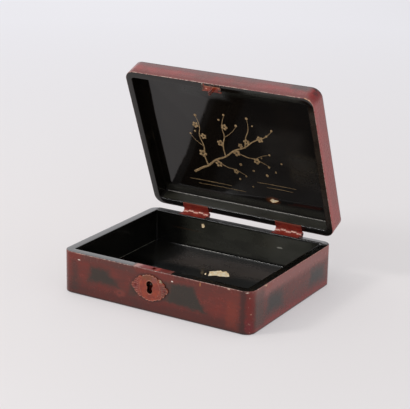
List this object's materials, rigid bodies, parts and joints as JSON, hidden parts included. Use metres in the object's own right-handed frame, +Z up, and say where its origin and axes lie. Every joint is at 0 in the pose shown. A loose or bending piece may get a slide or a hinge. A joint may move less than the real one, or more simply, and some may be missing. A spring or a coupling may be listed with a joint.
{
  "type": "japanese suzuri ink box",
  "caption": "Low rectangular lacquered box with rounded corners, a shallow lid standing open on two butt hinges, and a lock in the front wall behind a lobed keyhole plate.",
  "frame": {"origin": "middle of the base's underside, in the plane it rests on", "axes": "+X along the front to the right as seen from the front, +Y to the back where the hinges are, +Z up"},
  "size_m": [0.21, 0.1875, 0.2069],
  "materials": {
    "red_lacquer": "aged glossy red brown lacquer on wood, black where it faces inwards",
    "black_lacquer": "glossy black lacquer on wood",
    "painted_brass": "brass painted red, worn to bare metal at the edges",
    "lock_iron": "dull dark iron",
    "bamboo": "split bamboo"
  },
  "bodies": {
    "base": {"base_front_wall": "red_lacquer", "base_back_wall": "red_lacquer", "base_left_wall": "red_lacquer", "base_right_wall": "red_lacquer", "base_bottom_board": "black_lacquer", "base_corner_pegs": "bamboo", "keyhole_plate": "painted_brass", "keyhole_plate_nails": "painted_brass", "lock_plate": "painted_brass", "lock_case": "lock_iron", "lock_key_pin": "lock_iron", "lock_screws": "painted_brass", "bolt_spring": "lock_iron", "left_hinge_base_leaf": "painted_brass", "right_hinge_base_leaf": "painted_brass", "left_hinge_pin": "lock_iron", "right_hinge_pin": "lock_iron", "base_leaf_screws": "painted_brass"},
    "lid": {"lid_front_wall": "red_lacquer", "lid_back_wall": "red_lacquer", "lid_left_wall": "red_lacquer", "lid_right_wall": "red_lacquer", "lid_top_board": "red_lacquer", "lid_corner_pegs": "bamboo", "left_hinge_lid_leaf": "painted_brass", "right_hinge_lid_leaf": "painted_brass", "lid_leaf_screws": "painted_brass", "strike_plate": "painted_brass", "strike_staple": "lock_iron", "strike_screws": "painted_brass"},
    "bolt": {"lock_bolt": "lock_iron"}
  },
  "joints": [
    {"name": "lid_hinge", "type": "hinge", "parent": "base", "child": "lid", "pos_m": [0, 0.086, 0.0431], "axis": [-1, 0, 0], "range_deg": [-68.25, 111.75]},
    {"name": "bolt_slide", "type": "slide", "parent": "base", "child": "bolt", "axis": [1, 0, 0], "range_m": [0, 0.0045]}
  ]
}
